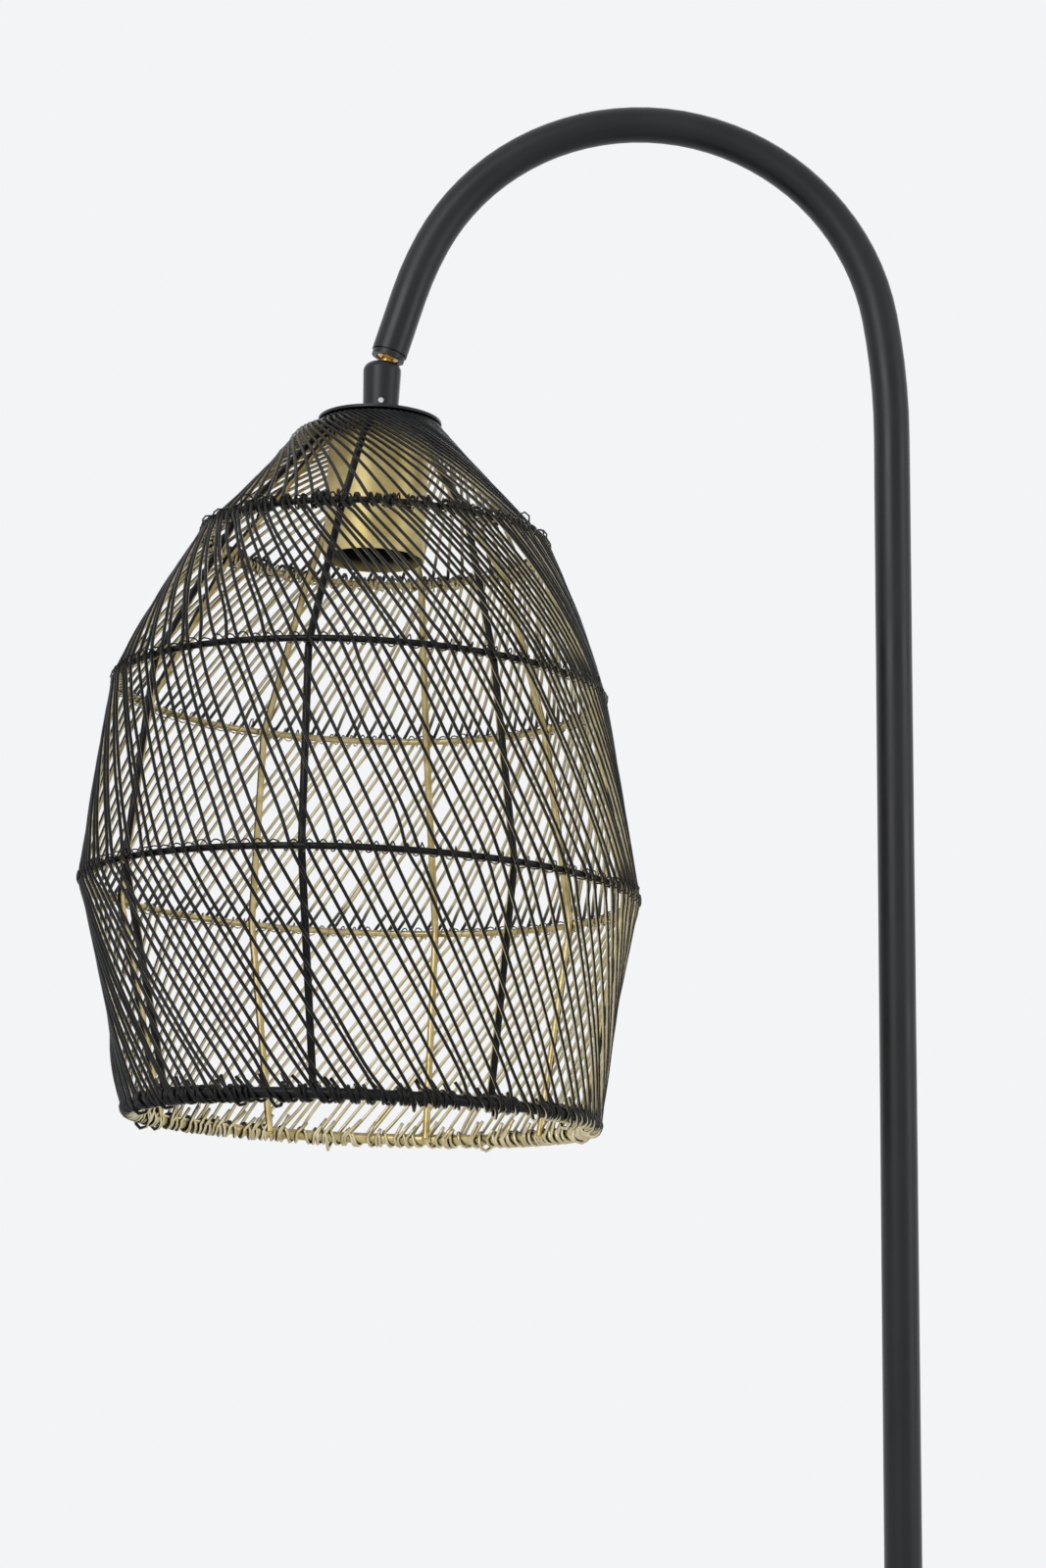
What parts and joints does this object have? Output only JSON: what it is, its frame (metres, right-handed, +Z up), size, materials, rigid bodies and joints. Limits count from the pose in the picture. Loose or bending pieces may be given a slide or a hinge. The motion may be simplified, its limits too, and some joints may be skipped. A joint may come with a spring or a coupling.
{
  "type": "arched floor lamp",
  "caption": "Arched floor lamp: round base, bent tube pole and a bell-shaped cage shade of twisted wires hung on a ball joint, with a lampholder inside.",
  "frame": {"origin": "centre of the round base on the floor", "axes": "+Z up along the pole; the arch bends over towards -X, so the shade hangs on the -X side; +Y is away from the picture's camera"},
  "size_m": [0.5837, 0.3024, 1.55],
  "materials": {
    "black_powder_coat": "satin black powder coat",
    "black_over_gold_paint": "satin black outside, matt gold inside",
    "gold_paint": "matt gold",
    "rubber": "matt",
    "zinc_plated_steel": "zinc plated",
    "brass": "turned",
    "nylon": "moulded",
    "lead_sheath": "smooth",
    "black_phenolic": "moulded, satin",
    "white_porcelain": "glazed ceramic"
  },
  "bodies": {
    "stand": {"base_plate": "black_powder_coat", "base_pads": "rubber", "bolt_cover": "rubber", "foot_washer": "zinc_plated_steel", "foot_bolt": "zinc_plated_steel", "foot_plug": "zinc_plated_steel", "foot_collar": "black_powder_coat", "lower_pole": "black_powder_coat", "pole_coupler": "zinc_plated_steel", "arch_tube": "black_powder_coat", "cable_grommet": "rubber", "pole_lead": "lead_sheath", "arch_end_plug": "black_powder_coat"},
    "stud": {"ball_stud": "brass", "stud_washer": "zinc_plated_steel", "stud_nut": "zinc_plated_steel"},
    "seat": {"seat_cup": "nylon"},
    "shade": {"joint_housing": "black_powder_coat", "grub_screw": "zinc_plated_steel", "disc_springs": "zinc_plated_steel", "housing_bush": "brass", "threaded_nipple": "brass", "top_plate": "black_powder_coat", "top_ring": "black_over_gold_paint", "upper_ring": "black_over_gold_paint", "middle_ring": "black_over_gold_paint", "wide_ring": "black_over_gold_paint", "rim_ring": "black_over_gold_paint", "rib_1": "black_over_gold_paint", "rib_2": "black_over_gold_paint", "rib_3": "black_over_gold_paint", "rib_4": "black_over_gold_paint", "rib_5": "black_over_gold_paint", "rib_6": "black_over_gold_paint", "rib_7": "black_over_gold_paint", "rib_8": "black_over_gold_paint", "cage_wires": "black_over_gold_paint", "holder_cup": "gold_paint", "lock_washer": "zinc_plated_steel", "lock_nut": "zinc_plated_steel", "holder_cap": "black_phenolic", "holder_body": "black_phenolic", "socket_insert": "white_porcelain", "socket_shell": "brass", "centre_contact": "brass", "shade_lead": "lead_sheath"}
  },
  "joints": [
    {"name": "head_swivel", "type": "hinge", "parent": "stand", "child": "stud", "pos_m": [-0.28546, 0, 1.38877], "axis": [0.2924, 0, 0.9563], "range_deg": [-170, 170]},
    {"name": "shade_tilt", "type": "hinge", "parent": "stud", "child": "seat", "pos_m": [-0.28546, 0, 1.38877], "axis": [0, 1, 0], "range_deg": [-9, 40]},
    {"name": "shade_turn", "type": "hinge", "parent": "seat", "child": "shade", "pos_m": [-0.28546, 0, 1.38877], "axis": [0.0262, 0, 0.9997], "range_deg": [-170, 170]}
  ]
}
